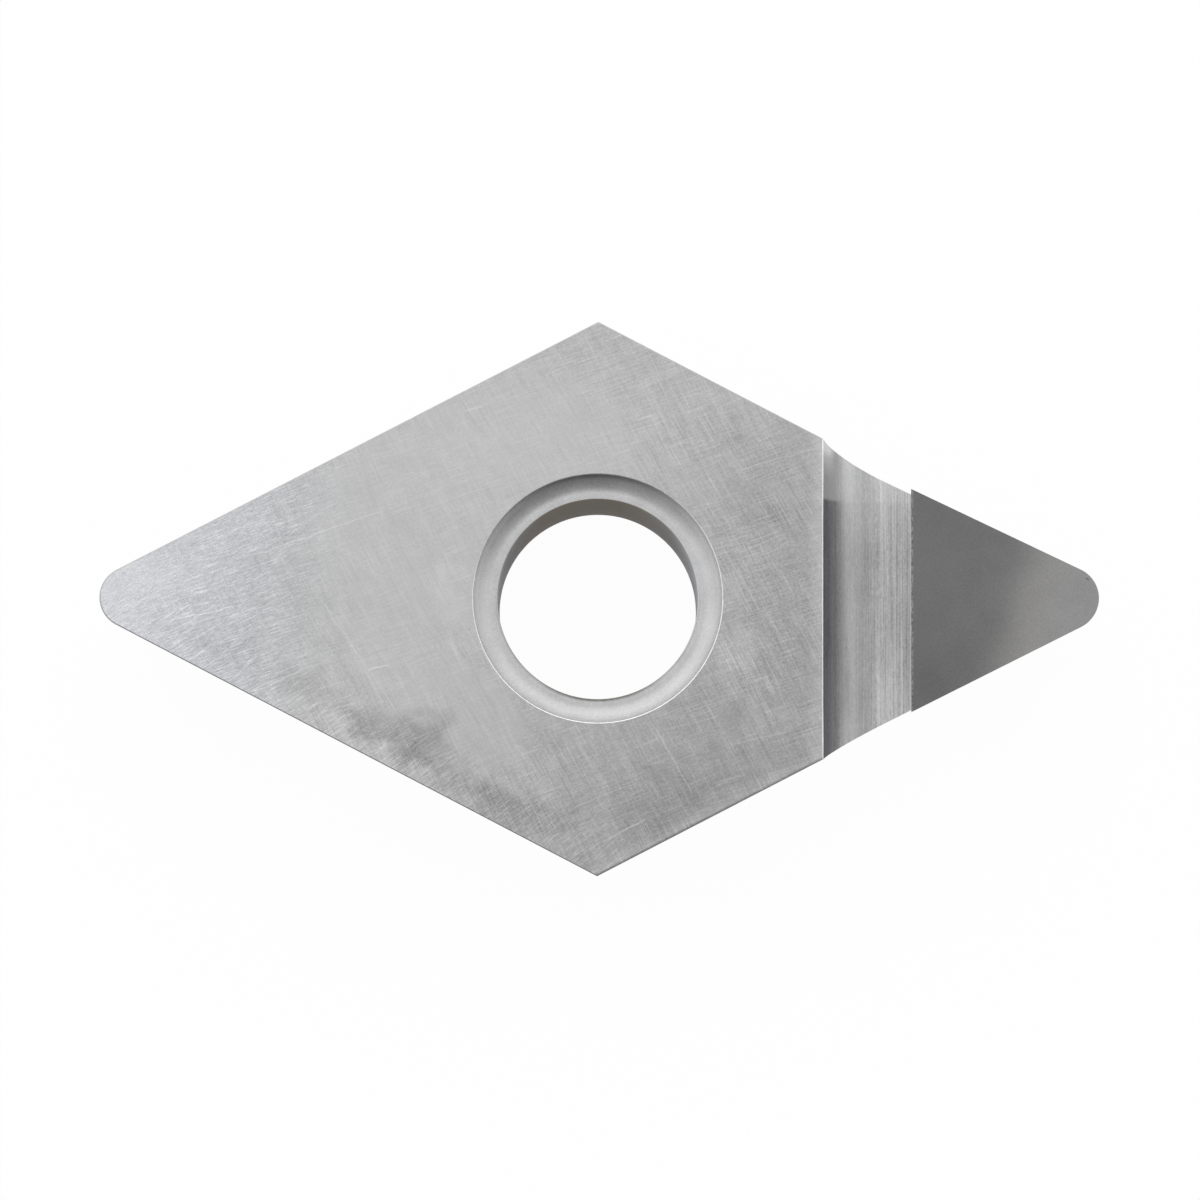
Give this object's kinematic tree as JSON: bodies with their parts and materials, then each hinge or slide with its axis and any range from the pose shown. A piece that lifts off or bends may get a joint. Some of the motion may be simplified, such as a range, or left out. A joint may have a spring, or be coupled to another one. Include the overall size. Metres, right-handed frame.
{
  "type": "carbide insert",
  "caption": "Rhombic carbide turning insert with a dished bore, clearance flanks, a ground chip recess and a brazed diamond corner.",
  "frame": {"origin": "where the bore's axis meets the seat face", "axes": "+Z along the bore and out of the top face, +X from the bore to the diamond corner"},
  "size_m": [0.0257, 0.0144, 0.0051],
  "materials": {
    "carbide": "finely ground cemented carbide with crossed grinding scratches",
    "diamond": "mirror-polished sintered diamond on a carbide backing",
    "braze": "pale silver braze, ground flush"
  },
  "bodies": {
    "root": {"insert_body": "carbide", "diamond_tip": "diamond", "braze_seam": "braze"}
  },
  "joints": []
}
